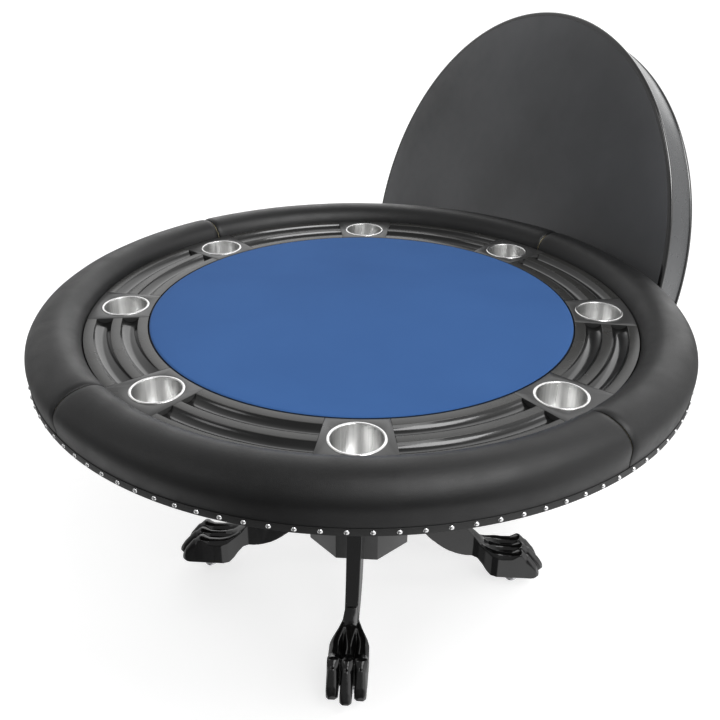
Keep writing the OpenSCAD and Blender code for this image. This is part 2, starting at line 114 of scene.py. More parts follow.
class Finish:
    """A material with its node tree, built a node at a time on the piece's own object coordinates."""

    def __init__(self, name, rough, metal=0.0, spec=0.5, coat=0.0, coat_rough=0.03, sheen=0.0):
        self.material = bpy.data.materials.new(name)
        self.material.use_nodes = True
        self.tree = self.material.node_tree
        self.shader = self.tree.nodes["Principled BSDF"]
        self.set(self.shader, {
            "Roughness": rough,
            "Metallic": metal,
            "Specular IOR Level": spec,
            "Coat Weight": coat,
            "Coat Roughness": coat_rough,
            "Sheen Weight": sheen,
        })
        self.where = self.node("ShaderNodeTexCoord", {}).outputs["Object"]

    def set(self, node, values):
        for key, value in values.items():
            node.inputs[key].default_value = value

    def node(self, kind, values, **options):
        made = self.tree.nodes.new(kind)
        for key, value in options.items():
            setattr(made, key, value)
        self.set(made, values)
        return made

    def link(self, source, target):
        self.tree.links.new(source, target)

    def placed(self, scale=(1, 1, 1), turn=(0, 0, 0), at=(0, 0, 0)):
        node = self.node("ShaderNodeMapping", {"Scale": scale, "Rotation": turn, "Location": at})
        self.link(self.where, node.inputs["Vector"])
        return node.outputs["Vector"]

    def noise(self, scale, detail=4.0, rough=0.5, vector=None, distortion=0.0):
        node = self.node("ShaderNodeTexNoise", {
            "Scale": scale, "Detail": detail, "Roughness": rough, "Distortion": distortion,
        })
        self.link(vector or self.where, node.inputs["Vector"])
        return node.outputs["Fac"]

    def cells(self, scale, feature="F1", vector=None):
        node = self.node("ShaderNodeTexVoronoi", {"Scale": scale}, feature=feature)
        self.link(vector or self.where, node.inputs["Vector"])
        return node.outputs["Distance"]

    def ramp(self, value, stops):
        node = self.node("ShaderNodeValToRGB", {})
        marks = node.color_ramp.elements
        while len(marks) < len(stops):
            marks.new(0.5)
        for mark, (place, colour) in zip(marks, stops):
            mark.position = place
            mark.color = (*colour, 1)
        self.link(value, node.inputs["Fac"])
        return node.outputs["Color"]

    def spread(self, value, low, high, start=0.0, end=1.0):
        node = self.node("ShaderNodeMapRange", {
            "From Min": start, "From Max": end, "To Min": low, "To Max": high,
        })
        self.link(value, node.inputs["Value"])
        return node.outputs["Result"]

    def mixed(self, first, second, amount=0.5, kind="MIX"):
        node = self.node("ShaderNodeMix", {}, data_type="RGBA", blend_type=kind)
        if isinstance(amount, float):
            node.inputs[0].default_value = amount
        else:
            self.link(amount, node.inputs[0])
        self.link(first, node.inputs[6])
        self.link(second, node.inputs[7])
        return node.outputs[2]

    def sum(self, first, second, share=1.0):
        node = self.node("ShaderNodeMath", {}, operation="MULTIPLY_ADD")
        self.link(second, node.inputs[0])
        node.inputs[1].default_value = share
        self.link(first, node.inputs[2])
        return node.outputs["Value"]

    def colour(self, output):
        self.link(output, self.shader.inputs["Base Color"])

    def roughness(self, output):
        self.link(output, self.shader.inputs["Roughness"])

    def bump(self, height, depth, strength=1.0, coat=False):
        node = self.node("ShaderNodeBump", {"Distance": depth, "Strength": strength})
        self.link(height, node.inputs["Height"])
        self.link(node.outputs["Normal"], self.shader.inputs["Normal"])
        if coat:
            self.link(node.outputs["Normal"], self.shader.inputs["Coat Normal"])


def vinyl_finish(name, dark, light, rough, grain):
    """Grained upholstery vinyl: pebbled cells with fine creases, its colour darker in the hollows between the
    pebbles as painted shade.
    """
    f = Finish(name, rough, spec=0.37)
    pebbles = f.cells(grain, "DISTANCE_TO_EDGE")
    creases = f.noise(grain * 0.7, 6.0, 0.62, distortion=0.6)
    height = f.sum(f.spread(pebbles, 0.0, 1.0, 0.0, 0.35), creases, 0.55)
    # The colour follows the pebbles, darker in the hollows between them: painted shade.
    f.colour(f.ramp(f.sum(f.noise(3.2, 3.0), pebbles, 0.4), [(0.3, dark), (0.75, light)]))
    f.roughness(f.spread(f.noise(22.0, 4.0), rough - 0.05, rough + 0.07, 0.3, 0.7))
    f.bump(height, 0.00016, 0.7)
    return f.material


def satin_paint(name, dark, light, rough, spec, depth=0.000015):
    """Sprayed satin paint with a fine orange peel, faint grain drawn through it and scuffs in its sheen."""
    f = Finish(name, rough, spec=spec)
    grain = f.noise(90.0, 5.0, 0.6)
    peel = f.noise(420.0, 3.0)
    f.colour(f.ramp(f.sum(f.noise(5.0, 3.0), grain, 0.35), [(0.35, dark), (0.95, light)]))
    f.roughness(f.spread(f.noise(14.0, 6.0, 0.6), rough - 0.04, rough + 0.06, 0.3, 0.7))
    f.bump(f.sum(peel, grain, 0.5), depth, 0.6)
    return f.material


def gloss_lacquer(name, tint, rough, coat):
    """Black lacquer over carved wood: a hard coat, slow waves under it and dust-fine specks."""
    f = Finish(name, rough, spec=0.5, coat=coat, coat_rough=0.06)
    waves = f.noise(38.0, 2.0)
    specks = f.noise(900.0, 2.0)
    f.colour(f.ramp(f.sum(waves, specks, 0.06), [(0.3, tint), (0.9, tuple(2.2 * c for c in tint))]))
    f.roughness(f.spread(f.noise(26.0, 5.0), rough * 0.75, rough * 1.4, 0.3, 0.7))
    f.bump(f.sum(waves, specks, 0.04), 0.00018, 0.5, coat=True)
    return f.material


def cloth_finish(name, deep, pale):
    """Brushed speed cloth: mottled nap, a crossed weave below it and a soft sheen."""
    f = Finish(name, 0.88, spec=0.1, sheen=0.05)
    f.set(f.shader, {"Sheen Roughness": 0.45})
    nap = f.noise(2.6, 5.0, 0.55, distortion=0.3)
    fuzz = f.noise(750.0, 3.0, 0.7)
    warp = f.noise(1500.0, 1.0, 0.5, f.placed(scale=(1, 0.12, 1)))
    weft = f.noise(1500.0, 1.0, 0.5, f.placed(scale=(0.12, 1, 1)))
    weave = f.sum(warp, weft)
    f.colour(f.ramp(f.sum(nap, fuzz, 0.35), [(0.32, deep), (0.95, pale)]))
    f.roughness(f.spread(fuzz, 0.8, 0.97, 0.3, 0.7))
    f.bump(f.sum(fuzz, weave, 0.5), 0.00018, 0.55)
    return f.material


def steel_finish(name, dark, light, rough, streak=(140.0, 140.0, 2.0), bump=0.00004, drawn=0.0):
    """Bare metal drawn along one direction: streaked in colour, gloss and height."""
    f = Finish(name, rough, metal=1.0)
    if drawn:
        f.set(f.shader, {"Anisotropic": drawn, "Anisotropic Rotation": 0.25})
        f.link(f.node("ShaderNodeTangent", {}, direction_type="RADIAL", axis="Z").outputs["Tangent"],
               f.shader.inputs["Tangent"])
    lines = f.noise(1.0, 6.0, 0.65, f.placed(scale=streak))
    fine = f.noise(7.0, 4.0, 0.6, f.placed(scale=streak))
    both = f.sum(lines, fine, 0.5)
    f.colour(f.ramp(both, [(0.45, dark), (0.95, light)]))
    f.roughness(f.spread(both, rough - 0.05, rough + 0.06, 0.5, 1.0))
    f.bump(both, bump, 0.5)
    return f.material


def plywood_finish(name, face, line):
    """Birch plywood: thin dark plies on its edges, long grain and pores on its faces."""
    f = Finish(name, 0.62, spec=0.3)
    grain = f.noise(4.0, 6.0, 0.6, f.placed(scale=(3, 34, 34)), distortion=0.5)
    plies = f.node("ShaderNodeTexWave", {
        "Scale": 105.0, "Distortion": 0.6, "Detail": 2.0, "Detail Scale": 3.0,
    }, bands_direction="Z")
    f.link(f.where, plies.inputs["Vector"])
    pale = tuple(min(1.0, 1.25 * c) for c in face)
    wood = f.ramp(grain, [(0.35, face), (0.7, pale)])
    f.colour(f.mixed(wood, f.ramp(plies.outputs["Fac"], [(0.15, line), (0.45, (1, 1, 1))]), 0.75, "MULTIPLY"))
    f.bump(grain, 0.0002, 0.5)
    return f.material


def foam_finish(name, deep, pale):
    """Open-cell foam: pitted all over, a little yellowed, its colour darker at the bottoms of the pits as
    painted shade.
    """
    f = Finish(name, 0.95, spec=0.1)
    pits = f.cells(520.0, "SMOOTH_F1")
    # The pit bottoms, low in the bump, take the deep colour: painted shade.
    f.colour(f.ramp(f.sum(f.noise(8.0), pits, 0.6), [(0.35, deep), (0.9, pale)]))
    f.bump(pits, 0.0006, 0.8)
    return f.material


def dining_face_finish(name, dark, light):
    """Charcoal laminate with a leather-fine texture, slightly cloudy, its colour darker along the creases of
    that texture as painted shade.
    """
    f = Finish(name, 0.46, spec=0.4)
    clouds = f.noise(2.2, 4.0, 0.5)
    fine = f.cells(620.0, "DISTANCE_TO_EDGE")
    # The colour follows the fine cells, darker along their edges where the bump has its creases: painted
    # shade.
    f.colour(f.ramp(f.sum(clouds, fine, 0.3), [(0.35, dark), (0.8, light)]))
    f.roughness(f.spread(f.noise(30.0, 4.0), 0.4, 0.52, 0.3, 0.7))
    f.bump(fine, 0.00008, 0.5)
    return f.material


vinyl = vinyl_finish("rail_vinyl", (0.0045, 0.0045, 0.0047), (0.011, 0.011, 0.0113), 0.38, 520.0)
band_vinyl = vinyl_finish("band_vinyl", (0.009, 0.009, 0.009), (0.02, 0.02, 0.02), 0.45, 700.0)
racetrack = satin_paint("racetrack_satin", (0.017, 0.0168, 0.0158), (0.025, 0.0246, 0.0233), 0.24, 0.4)
panel_paint = satin_paint("cup_panel_satin", (0.024, 0.024, 0.024), (0.034, 0.034, 0.034), 0.3, 0.5)
groove_gloss = gloss_lacquer("groove_lacquer", (0.003, 0.003, 0.003), 0.16, 0.3)
lacquer = gloss_lacquer("leg_lacquer", (0.003, 0.003, 0.0032), 0.14, 0.35)
column_paint = satin_paint("column_satin", (0.016, 0.016, 0.016), (0.03, 0.03, 0.03), 0.3, 0.5)
felt = cloth_finish("blue_cloth", (0.029, 0.085, 0.238), (0.04, 0.112, 0.3))
# Nearly black blue for the felt's side: painted shade of the gap between the felt and the racetrack.
felt_side_painted_shade = cloth_finish("cloth_side_painted_shade", (0.003, 0.006, 0.014), (0.006, 0.011, 0.024))
# The cup steel's colour streaks run up and down the walls: partly the drawn steel's own tone, partly painted
# reflection of the tall lamp stripes.
stainless = steel_finish(
    "drawn_stainless_and_painted_reflection", (0.62, 0.62, 0.62), (0.94, 0.94, 0.93), 0.3, bump=0.000008, drawn=0.85
)
rim_steel = steel_finish("rolled_rim", (0.66, 0.66, 0.66), (0.86, 0.86, 0.85), 0.22, (40.0, 40.0, 40.0))
chrome = steel_finish("nail_chrome", (0.7, 0.7, 0.71), (0.95, 0.95, 0.95), 0.1, (300.0, 300.0, 300.0))
zinc = steel_finish("zinc_plate", (0.45, 0.46, 0.48), (0.75, 0.77, 0.8), 0.34, (90.0, 90.0, 90.0))
brass = steel_finish("brass_insert", (0.55, 0.38, 0.12), (0.85, 0.64, 0.28), 0.32, (120.0, 120.0, 120.0))
dark_steel = steel_finish("foot_steel", (0.4, 0.4, 0.41), (0.7, 0.7, 0.71), 0.2, (80.0, 80.0, 80.0))
plywood = plywood_finish("stained_plywood", (0.03, 0.026, 0.022), (0.5, 0.45, 0.4))
foam = foam_finish("pad_foam", (0.52, 0.42, 0.22), (0.76, 0.68, 0.45))
dining_face = dining_face_finish("dining_laminate", (0.046, 0.0468, 0.0488), (0.08, 0.0814, 0.0854))
dining_edge = satin_paint("dining_edge_paint", (0.045, 0.047, 0.049), (0.066, 0.068, 0.071), 0.26, 0.5)
black_gloss = gloss_lacquer("bead_lacquer", (0.005, 0.005, 0.005), 0.14, 1.0)

# ---------------------------------------------------------------- modelling helpers


def ring_edges(bm, points, closed=True):
    """Vertices through the points, joined by edges."""
    verts = [bm.verts.new(p) for p in points]
    pairs = list(zip(verts, verts[1:]))
    if closed:
        pairs.append((verts[-1], verts[0]))
    return verts, [bm.edges.new(pair) for pair in pairs]


def arc(centre, radii, start, end, n):
    """Points (r, z) of an ellipse's arc, in degrees from start to end."""
    turns = [math.radians(start + (end - start) * k / n) for k in range(n + 1)]
    return [(centre[0] + radii[0] * math.cos(t), centre[1] + radii[1] * math.sin(t)) for t in turns]


def eased(points, radius, n=3):
    """The closed outline again, with each corner turned by a short curve."""
    out = []
    count = len(points)
    for k in range(count):
        before, here, after = (Vector(points[(k + j) % count]) for j in (-1, 0, 1))
        back, ahead = before - here, after - here
        bend = math.pi - back.angle(ahead)
        if bend < math.radians(25):
            out.append(tuple(here))
            continue
        reach = min(radius, back.length * 0.45, ahead.length * 0.45)
        a, b = here + back.normalized() * reach, here + ahead.normalized() * reach
        for j in range(n + 1):
            t = j / n
            out.append(tuple((1 - t) ** 2 * a + 2 * t * (1 - t) * here + t * t * b))
    return out


def lathe(bm, section, steps, start=0.0, sweep=TURN, closed=True):
    """Turns a section of (r, z) points about the Z axis, by a full turn or a part of one."""
    whole = abs(sweep - TURN) < 1e-9
    points = [(r, 0, z) for r, z in section]
    verts, edges = ring_edges(bm, points, closed)
    bmesh.ops.rotate(bm, verts=verts, cent=(0, 0, 0), matrix=Matrix.Rotation(start, 3, "Z"))
    made = bmesh.ops.spin(
        bm, geom=verts + edges, cent=(0, 0, 0), axis=(0, 0, 1), angle=sweep, steps=steps, use_merge=whole
    )
    if closed and not whole:
        bm.edges.ensure_lookup_table()
        rims = [e for e in bm.edges if e.is_boundary]
        bmesh.ops.edgeloop_fill(bm, edges=rims)
    return made


def slab(bm, loops, low, high, ease=0.0, segments=2):
    """A board between two heights from one outline and any holes, with its sharp edges eased."""
    edges = []
    for points in loops:
        edges += ring_edges(bm, [(x, y, low) for x, y in points])[1]
    faces = [g for g in bmesh.ops.triangle_fill(bm, edges=edges, use_beauty=True)["geom"]
             if isinstance(g, bmesh.types.BMFace)]
    grown = bmesh.ops.extrude_face_region(bm, geom=faces, use_keep_orig=True)["geom"]
    top = [g for g in grown if isinstance(g, bmesh.types.BMVert)]
    bmesh.ops.translate(bm, verts=top, vec=(0, 0, high - low))
    tidy(bm)
    if ease:
        sharp = [e for e in bm.edges if e.is_manifold and e.calc_face_angle() > math.radians(25)]
        bmesh.ops.bevel(
            bm, geom=sharp, offset=ease, segments=segments, profile=0.5, material=-1, affect="EDGES"
        )


def tidy(bm):
    bmesh.ops.remove_doubles(bm, verts=bm.verts, dist=2e-6)
    bmesh.ops.recalc_face_normals(bm, faces=bm.faces)


def absorb(bm, part):
    """Moves the part's mesh into bm."""
    spare = bpy.data.meshes.new("spare")
    part.to_mesh(spare)
    part.free()
    bm.from_mesh(spare)
    bpy.data.meshes.remove(spare)


def to_piece(bm, name, finish, place=None, crease=32.0):
    """An object from the bmesh, smooth apart from its creases."""
    tidy(bm)
    if place is not None:
        bmesh.ops.transform(bm, matrix=place, verts=bm.verts)
    mesh = bpy.data.meshes.new(name)
    bm.to_mesh(mesh)
    bm.free()
    mesh.shade_smooth()
    mesh.set_sharp_from_angle(angle=math.radians(crease))
    mesh.materials.append(finish)
    piece = bpy.data.objects.new(name, mesh)
    scene.collection.objects.link(piece)
    return piece


def fit(piece, body, slot, *nodes):
    """Rides the piece on its body in place of the nodes it stands for."""
    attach(piece, body)
    if nodes:
        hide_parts(*nodes)
    return piece


def baked(piece):
    """The piece again with its modifiers applied to its mesh."""
    evaluated = piece.evaluated_get(bpy.context.evaluated_depsgraph_get())
    mesh = bpy.data.meshes.new_from_object(evaluated)
    piece.modifiers.clear()
    piece.data = mesh
    return piece


def at_turn(radius, turn, height=0.0):
    return Matrix.Rotation(turn, 4, "Z") @ Matrix.Translation((radius, 0, height))


# ---------------------------------------------------------------- padded rail


def rail_skin(inset=0.0, n=14):
    """Rail outline from the inner foot over the crown to the outer foot, as (r, z)."""
    rise = crown_top - rail_mid
    inner = arc((crown_r, rail_mid), (crown_r - rail_in - inset, rise - inset), 180, 90, n)
    outer = arc((crown_r, rail_mid), (rail_r - crown_r - inset, rise - inset), 90, 0, n)[1:]
    foot = [(rail_in + inset, foam_low + k * (rail_mid - foam_low) / 4) for k in range(4)]
    tuck = [
        (rail_r - 0.6 * MM - inset, rail_mid - 9 * MM),
        (rail_low_r + 1.6 * MM - inset, rail_mid - 19 * MM),
        (rail_low_r + 0.5 * MM - inset, band_top + 6 * MM),
        (rail_low_r - inset, band_top),
        (rail_low_r - inset, band_top - 6 * MM),
        (rail_low_r - inset, band_low + 1 * MM),
    ]
    return foot + inner + outer + tuck


def seam_pull(away):
    """Dip of the cover below its outline at a distance from its seam: a tight valley, then a fullness."""
    valley = 3.6 * MM * math.exp(-((away / (3.4 * MM)) ** 1.5))
    fullness = 0.8 * MM * (away / (26 * MM)) * math.exp(1 - away / (26 * MM))
    return valley - fullness


def settle(piece, held, limit):
    """Lets the cover fill out under a little pressure, held along its edges, never further than the limit."""
    rest = [v.co.copy() for v in piece.data.vertices]
    group = piece.vertex_groups.new(name="tacked")
    group.add(held, 1.0, "REPLACE")
    cloth = piece.modifiers.new("Cloth", "CLOTH")
    cloth.settings.quality = 6
    cloth.settings.mass = 0.35
    cloth.settings.tension_stiffness = 60
    cloth.settings.compression_stiffness = 60
    cloth.settings.bending_stiffness = 4
    cloth.settings.air_damping = 6
    cloth.settings.use_pressure = True
    cloth.settings.uniform_pressure_force = 4
    cloth.settings.vertex_group_mass = "tacked"
    cloth.settings.effector_weights.gravity = 0
    for step in range(1, 21):
        scene.frame_set(step)
    baked(piece)
    for vert, start in zip(piece.data.vertices, rest):
        moved = vert.co - start
        if moved.length > limit:
            vert.co = start + moved * (limit / moved.length)
    piece.vertex_groups.clear()
    scene.frame_set(1)


def rail_cover(k):
    skin = rail_skin()
    steps = 132
    start = seam_start + quarter * (k - 1)
    bm = bmesh.new()
    lathe(bm, skin, steps, start, quarter, closed=False)
    tidy(bm)
    middle = Vector((crown_r, 0, rail_mid - 8 * MM))
    for vert in bm.verts:
        turn = (math.atan2(vert.co.y, vert.co.x) - start) % TURN
        turn = 0.0 if turn > math.pi else turn
        radius = math.hypot(vert.co.x, vert.co.y)
        away = min(turn, quarter - turn) * radius
        flat = Vector((radius, 0, vert.co.z))
        inward = (middle - flat).normalized()
        high = min(1.0, max(0.0, (vert.co.z - (band_top + 4 * MM)) / (14 * MM)))
        wave = 0.35 * MM * noise.noise(vert.co * 9.0) + 0.12 * MM * noise.noise(vert.co * 31.0)
        flat += inward * (seam_pull(max(0.0, away)) + wave) * high
        heading = math.atan2(vert.co.y, vert.co.x)
        vert.co = (flat.x * math.cos(heading), flat.x * math.sin(heading), flat.z)
    outward = [f for f in bm.faces if f.normal.dot(f.calc_center_median() - Vector((0, 0, rail_mid))) < 0]
    if len(outward) > len(bm.faces) / 2:
        bmesh.ops.reverse_faces(bm, faces=bm.faces)
    held = [v.index for v in bm.verts if v.is_boundary]
    mesh = bpy.data.meshes.new("rail_pad_%d" % k)
    bm.to_mesh(mesh)
    bm.free()
    mesh.materials.append(vinyl)
    piece = bpy.data.objects.new("rail_pad_%d" % k, mesh)
    scene.collection.objects.link(piece)
    settle(piece, held, 1.6 * MM)
    piece.data.shade_smooth()
    wall = piece.modifiers.new("Thickness", "SOLIDIFY")
    wall.thickness = 1.5 * MM
    wall.offset = -1
    soft = piece.modifiers.new("Smooth", "SUBSURF")
    soft.levels = soft.render_levels = 1
    fit(piece, "table", "rail_vinyl", "rail_cover_%d" % k)


for k in range(1, 5):
    rail_cover(k)

bm = bmesh.new()
core_in, core_out = rail_in + 12.5 * MM, rail_in + 96.5 * MM
core_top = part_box("rail_core")[1].z
inner_skin = rail_skin(5.6 * MM)
hollow = [(core_out, foam_low), (core_out, core_top), (core_in, core_top), (core_in, foam_low)]
lathe(bm, [p for p in inner_skin if p[1] > foam_low + 0.1 * MM] + hollow, 160)
rail_filling = fit(to_piece(bm, "rail_filling", foam), "table", "foam", "rail_foam")

# ---------------------------------------------------------------- nail band and nails

bm = bmesh.new()
outline = [(rail_low_r, band_low), (band_r, band_low), (band_r, band_top), (rail_low_r, band_top)]
lathe(bm, eased(outline, 0.7 * MM), 256)
fit(to_piece(bm, "nail_strip", band_vinyl), "table", "band_vinyl", "nail_band")

bm = bmesh.new()
nail_count = 110
dome = [(0.0, 3.3 * MM), (1.6 * MM, 3.1 * MM), (3.1 * MM, 2.45 * MM), (4.2 * MM, 1.4 * MM),
        (4.75 * MM, 0.35 * MM), (4.7 * MM, 0.0), (0.0, 0.0)]
lathe(bm, dome, 12, closed=False)
tidy(bm)
pattern = list(bm.verts) + list(bm.edges) + list(bm.faces)
nail_z = (band_low + band_top) / 2
for k in range(nail_count):
    made = bmesh.ops.duplicate(bm, geom=pattern)["geom"]
    verts = [g for g in made if isinstance(g, bmesh.types.BMVert)]
    place = at_turn(band_r, TURN / nail_count * k, nail_z) @ Matrix.Rotation(math.pi / 2, 4, "Y")
    bmesh.ops.transform(bm, matrix=place, verts=verts)
bmesh.ops.delete(bm, geom=[g for g in pattern if isinstance(g, bmesh.types.BMVert)], context="VERTS")
fit(to_piece(bm, "nail_domes", chrome, crease=60.0), "table", "nail_chrome", "nail_heads")

# ---------------------------------------------------------------- racetrack


def tray_section():
    """Section of a chip tray, with its two round grooves."""
    lift = math.sqrt(chip_r ** 2 - (groove_w / 2) ** 2)
    half = math.degrees(math.asin(groove_w / 2 / chip_r))
    points = [(deck_in, deck_low), (deck_r, deck_low), (deck_r, deck_top)]
    for r in groove_r:
        points += arc((r, deck_top + lift), (chip_r, chip_r), -90 + half, -90 - half, 16)
    return points + [(deck_in, deck_top)]


for k in range(1, 9):
    half = math.radians(22.5) - panel_half - joint_half
    bm = bmesh.new()
    lathe(bm, eased(tray_section(), 0.9 * MM), 40, seat_turn(k + 0.5) - half, 2 * half)
    piece = to_piece(bm, "groove_tray_%d" % k, racetrack, crease=40.0)
    piece.data.materials.append(groove_gloss)
    for face in piece.data.polygons:
        if deck_low + 4 * MM < face.center.z < deck_top - 0.75 * MM and 0.2 < face.normal.z:
            face.material_index = 1
    fit(piece, "table", "racetrack_satin", "chip_tray_%d" % k)

for k in range(1, 9):
    half = panel_half - joint_half
    bm = bmesh.new()
    sweep = [math.degrees(seat_turn(k) + side * half) for side in (-1, 1)]
    outline = arc((0, 0), (deck_r, deck_r), sweep[0], sweep[1], 20)
    outline += arc((0, 0), (deck_in, deck_in), sweep[1], sweep[0], 20)
    centre = (cup_ring_r * math.cos(seat_turn(k)), cup_ring_r * math.sin(seat_turn(k)))
    hole = arc(centre, (47.6 * MM, 47.6 * MM), 0, 360, 64)[:-1]
    slab(bm, [outline, hole], deck_low, deck_top, 0.6 * MM)
    fit(to_piece(bm, "cup_plate_%d" % k, panel_paint), "table", "racetrack_satin", "cup_panel_%d" % k)

# ---------------------------------------------------------------- cup holders

cup_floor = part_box("cup_holder_1")[0].z
cup_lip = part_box("cup_holder_1")[1].z
cup_r, flange_r, sheet_t = 47 * MM, 51.7 * MM, 1.2 * MM


def cup_section():
    """Pressed cup: a rolled rim that lies on the deck, a straight wall and a dished floor."""
    mid = (flange_r + cup_r - sheet_t) / 2
    reach = (flange_r - cup_r + sheet_t) / 2
    inside = cup_r - sheet_t
    rim = arc((mid, deck_top + 0.1 * MM), (reach, cup_lip - deck_top - 0.1 * MM), 0, 180, 12)
    wall = [(inside, deck_top - 12 * MM), (inside, cup_floor + 9 * MM)]
    corner = arc((inside - 7 * MM, cup_floor + 8.2 * MM), (7 * MM, 7 * MM), 0, -90, 8)
    floor = [(30 * MM, cup_floor + 1.2 * MM), (27 * MM, cup_floor + 1.9 * MM), (0, cup_floor + 1.9 * MM)]
    under = [(0, cup_floor), (cup_r - 8 * MM, cup_floor)]
    outer = arc((cup_r - 8 * MM, cup_floor + 8 * MM), (8 * MM, 8 * MM), -90, 0, 8)
    return rim + wall + corner + floor + under + outer + [(cup_r, deck_top + 0.05 * MM)]


for k in range(1, 9):
    bm = bmesh.new()
    lathe(bm, cup_section(), 96, closed=True)
    piece = to_piece(bm, "drink_cup_%d" % k, stainless, at_turn(cup_ring_r, seat_turn(k)))
    piece.data.materials.append(rim_steel)
    for face in piece.data.polygons:
        if face.center.z > deck_top + 0.02 * MM:
            face.material_index = 1
    fit(piece, "cup_%d" % k, "stainless", "cup_holder_%d" % k)

# ---------------------------------------------------------------- playing surface

edge_r = 7 * MM
rings = [(cloth_r - edge_r) * k / 22 for k in range(23)]
section = [(r, cloth_top) for r in rings]
section += arc((cloth_r - edge_r, cloth_top - edge_r), (edge_r, edge_r), 90, 0, 6)[1:]
section += [(cloth_r, cloth_top - 12 * MM), (cloth_r, cloth_low + 0.5 * MM)]
bm = bmesh.new()
lathe(bm, section, 160, closed=False)
tidy(bm)
if sum(f.normal.z for f in bm.faces) < 0:
    bmesh.ops.reverse_faces(bm, faces=bm.faces)
for vert in bm.verts:
    if vert.co.z > cloth_top - 1 * MM:
        vert.co.z -= 0.18 * MM + 0.18 * MM * noise.noise(vert.co * 11.0)
mesh = bpy.data.meshes.new("blue_felt")
bm.to_mesh(mesh)
bm.free()
mesh.shade_smooth()
mesh.materials.append(felt)
mesh.materials.append(felt_side_painted_shade)
# Faces below the felt's rounded edge take the nearly black cloth: painted shade of the gap at the felt's
# foot.
for face in mesh.polygons:
    if face.center.z < cloth_top - 2.5 * MM:
        face.material_index = 1
felt_sheet = bpy.data.objects.new("blue_felt", mesh)
scene.collection.objects.link(felt_sheet)
wall = felt_sheet.modifiers.new("Thickness", "SOLIDIFY")
wall.thickness = 1.9 * MM
wall.offset = -1
fit(felt_sheet, "playing_surface", "blue_cloth", "playing_cloth")

# ---------------------------------------------------------------- pedestal

column_r = 121 * MM / math.cos(math.pi / 8)


def octagon(radius):
    turns = [pedestal_turn + math.pi / 8 + k * math.pi / 4 for k in range(8)]
    return [(radius * math.cos(t), radius * math.sin(t)) for t in turns]


bm = bmesh.new()
slab(bm, [octagon(column_r), octagon(column_r - 21.6 * MM)], column_low, column_top, 1.6 * MM, 3)
fit(to_piece(bm, "octagon_column", column_paint), "table", "black_lacquer", "column")

# ---------------------------------------------------------------- carved legs


def curve(p, n):
    """Points of a cubic curve with its two handles in the middle of p, in metres."""
    out = []
    for k in range(n + 1):
        t = k / n
        s = 1 - t
        share = (s ** 3, 3 * s * s * t, 3 * s * t * t, t ** 3)
        out.append(tuple(sum(w * q[j] for w, q in zip(share, p)) * MM for j in (0, 1)))
    return out


def smooth_step(value, start, end):
    t = min(1.0, max(0.0, (value - start) / (end - start)))
    return t * t * (3 - 2 * t)


def leg_board(bm):
    top = [p for p in curve([(121, 393), (200, 323), (262, 107), (345, 107)], 30) if p[0] < 298 * MM]
    low = curve([(283, 77), (215, 76), (165, 138), (121, 200)], 18)
    outline = top + [(300 * MM, 110 * MM), (300 * MM, 77 * MM)] + low
    verts, edges = ring_edges(bm, [(x, -18 * MM, z) for x, z in outline])
    face = bm.faces.new(verts)
    grown = bmesh.ops.extrude_face_region(bm, geom=[face], use_keep_orig=True)["geom"]
    moved = [g for g in grown if isinstance(g, bmesh.types.BMVert)]
    bmesh.ops.translate(bm, verts=moved, vec=(0, 36 * MM, 0))
    for vert in bm.verts:
        vert.co.y *= 1.03 - 0.2 * smooth_step(vert.co.x, 150 * MM, 300 * MM)


# Ridges of the middle toe and of a side toe: distance out, height, half width, all in mm
MIDDLE = [(286, 143.5, 17), (297, 132, 16), (306, 123.5, 15), (314, 117, 13), (328, 110.4, 9.6),
          (346, 106.6, 6.2), (364, 105, 4.6), (386, 105, 6), (397, 109, 9.5), (405, 112.6, 12),
          (411, 113, 12.8), (418, 108, 12), (423, 102.6, 10.4), (430, 99, 10), (443, 84, 11),
          (457, 67, 11.6), (464, 56, 11), (468, 49, 10)]
SIDE = [(286, 131, 3), (303, 122, 4.5), (318, 114, 6), (335, 108.6, 7), (360, 105.4, 6.8), (384, 105, 8),
        (394, 108.6, 11), (402, 112.4, 12.8), (408, 112.6, 13), (414, 107.6, 12), (419, 102.4, 10.6),
        (425, 99.4, 10), (435, 86.5, 11), (446, 72, 11.6), (452, 60, 11), (455, 53, 10)]
# Hollows between the toes, underside of the instep, and half the instep's width, against distance out
WEB = [(286, 134), (300, 115), (318, 101), (340, 93.5), (370, 90), (404, 90)]
ARCH = [(286, 77), (300, 73), (312, 61), (323, 46), (334, 37), (346, 36)]
SPREAD = [(286, 14.8), (300, 18.5), (318, 28.5), (336, 40), (350, 44.3), (404, 44.3)]
TOE_LANE = 30.4


def at_x(table, x):
    """Straight-line value, or values, of the table at x."""
    for a, b in zip(table, table[1:]):
        if x <= b[0]:
            t = max(0.0, (x - a[0]) / (b[0] - a[0]))
            return [p + (q - p) * t for p, q in zip(a[1:], b[1:])]
    return list(table[-1][1:])


def ridge(x, y, table, middle):
    """Height of a toe's ridge at a point: a rounded crest that falls away on both sides."""
    height, half = at_x(table, x)
    away = abs(y - middle)
    dip = 1.8 + 6.2 * smooth_step(x, 396, 420)
    if away < half:
        return height - dip * (away / half) ** 2
    return height - dip - (away - half) * (1.5 + 2 * smooth_step(x, 396, 420))


def instep_top(x, y):
    """The top of the instep: three ridges that part at the ankle, with hollows between them."""
    side = 13.5 + (TOE_LANE - 13.5) * smooth_step(x, 292, 352)
    return max(at_x(WEB, x)[0], ridge(x, y, MIDDLE, 0), ridge(x, abs(y), SIDE, side))


